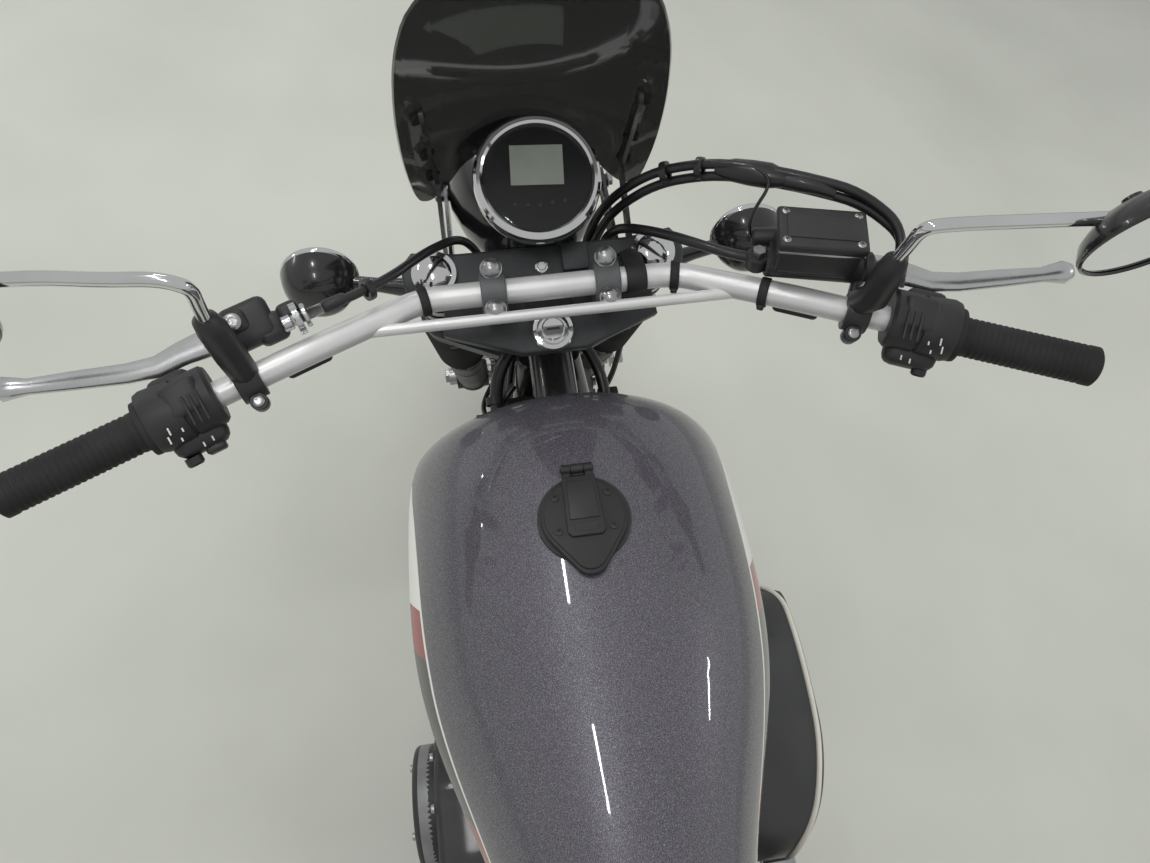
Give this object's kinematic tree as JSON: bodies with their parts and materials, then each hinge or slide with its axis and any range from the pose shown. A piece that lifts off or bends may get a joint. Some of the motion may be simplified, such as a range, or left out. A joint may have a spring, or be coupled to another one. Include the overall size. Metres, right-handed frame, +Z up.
{
  "type": "motorcycle",
  "caption": "Road motorcycle in scrambler style with V-twin engine, belt drive, wide braced handlebar and fly screen, leaning on its side stand.",
  "frame": {"origin": "middle of the parked machine's footprint, on the ground", "axes": "+X towards the front wheel, +Y to the rider's left, +Z up; the machine leans about X on its stand"},
  "size_m": [2.2563, 0.9496, 1.2133],
  "materials": {
    "tyre": "matte",
    "black_wheel": "satin",
    "disc_steel": "brushed",
    "pulley": "satin",
    "belt": "matte",
    "fork_chrome": "polished",
    "fork_black": "satin",
    "axle_steel": "machined",
    "gaiter_rubber": "matte",
    "clamp_grey": "textured",
    "bar_silver": "satin",
    "grip_rubber": "matte",
    "switch_plastic": "textured",
    "perch_black": "satin",
    "lever_silver": "polished",
    "mirror_stem": "polished",
    "mirror_shell": "gloss",
    "gauge_chrome": "polished",
    "lamp_black": "gloss",
    "lamp_glass": "clear",
    "screen_smoke": "smoked",
    "frame_black": "gloss",
    "signal_black": "gloss",
    "tank_paint": "metallic",
    "fender_black": "satin",
    "caliper_grey": "satin",
    "cable_black": "satin",
    "engine_black": "wrinkle",
    "engine_alloy": "cast",
    "cover_black": "satin",
    "intake_alloy": "cast",
    "air_cover": "satin",
    "exhaust_steel": "brushed",
    "silencer_black": "matte",
    "cap_black": "matte",
    "seat_cover": "matte",
    "box_black": "textured",
    "tail_red": "gloss",
    "peg_steel": "satin"
  },
  "bodies": {
    "front_wheel": {"front_tyre": "tyre", "front_wire_wheel": "black_wheel", "front_disc": "disc_steel"},
    "rear_wheel": {"rear_tyre": "tyre", "rear_wire_wheel": "black_wheel", "rear_disc": "disc_steel", "rear_pulley": "pulley"},
    "steering": {"fork_tubes": "fork_chrome", "fork_sliders": "fork_black", "front_axle": "axle_steel", "fork_gaiters": "gaiter_rubber", "lower_clamp": "clamp_grey", "upper_clamp": "clamp_grey", "handlebar": "bar_silver", "bar_clamps": "clamp_grey", "grips": "grip_rubber", "switchgear": "switch_plastic", "lever_perches": "perch_black", "hand_levers": "lever_silver", "mirror_stems": "mirror_stem", "mirror_heads": "mirror_shell", "gauge": "gauge_chrome", "headlight_bowl": "lamp_black", "headlight_lens": "lamp_glass", "fly_screen": "screen_smoke", "front_brackets": "frame_black", "front_signals": "signal_black", "front_fender": "tank_paint", "front_caliper": "caliper_grey", "bar_cables": "cable_black"},
    "chassis": {"frame_spine": "frame_black", "frame_cradles": "frame_black", "seat_rails": "frame_black", "rack_bosses": "frame_black", "rear_fender": "fender_black", "swingarm": "frame_black", "rear_axle": "axle_steel", "shocks": "frame_black", "rear_caliper": "caliper_grey", "engine_case": "engine_black", "cylinders": "engine_alloy", "engine_covers": "cover_black", "intake": "intake_alloy", "air_cleaner": "air_cover", "exhaust_pipes": "exhaust_steel", "silencer": "silencer_black", "drive_belt": "belt", "fuel_tank": "tank_paint", "cap_ring": "cap_black", "seat": "seat_cover", "battery_box": "box_black", "side_plates": "air_cover", "horn": "lamp_black", "tail_light": "tail_red", "rear_signals": "signal_black", "plate_bracket": "box_black", "foot_pegs": "peg_steel", "foot_levers": "peg_steel"},
    "fuel_lid": {"cap_lid": "cap_black"},
    "stand": {"side_stand": "frame_black"}
  },
  "joints": [
    {"name": "steering_turn", "type": "hinge", "parent": "chassis", "child": "steering", "pos_m": [0.7594, -0.13693, 0.30766], "axis": [-0.4756, 0.1527, 0.8663], "range_deg": [-38, 38]},
    {"name": "front_wheel_turn", "type": "hinge", "parent": "steering", "child": "front_wheel", "pos_m": [0.79723, -0.13338, 0.3278], "axis": [0, 0.9848, -0.1736], "continuous": true},
    {"name": "rear_wheel_turn", "type": "hinge", "parent": "chassis", "child": "rear_wheel", "pos_m": [-0.77777, -0.13385, 0.32516], "axis": [0, 0.9848, -0.1736], "continuous": true},
    {"name": "fuel_lid_hinge", "type": "hinge", "parent": "chassis", "child": "fuel_lid", "pos_m": [0.25923, -0.03124, 0.90706], "axis": [0, 0.9848, -0.1736], "range_deg": [0, 90]},
    {"name": "side_stand_swing", "type": "hinge", "parent": "chassis", "child": "stand", "pos_m": [-0.03777, -0.03855, 0.16303], "axis": [0.1309, 0.7891, 0.6002], "range_deg": [0, 93.9]}
  ]
}
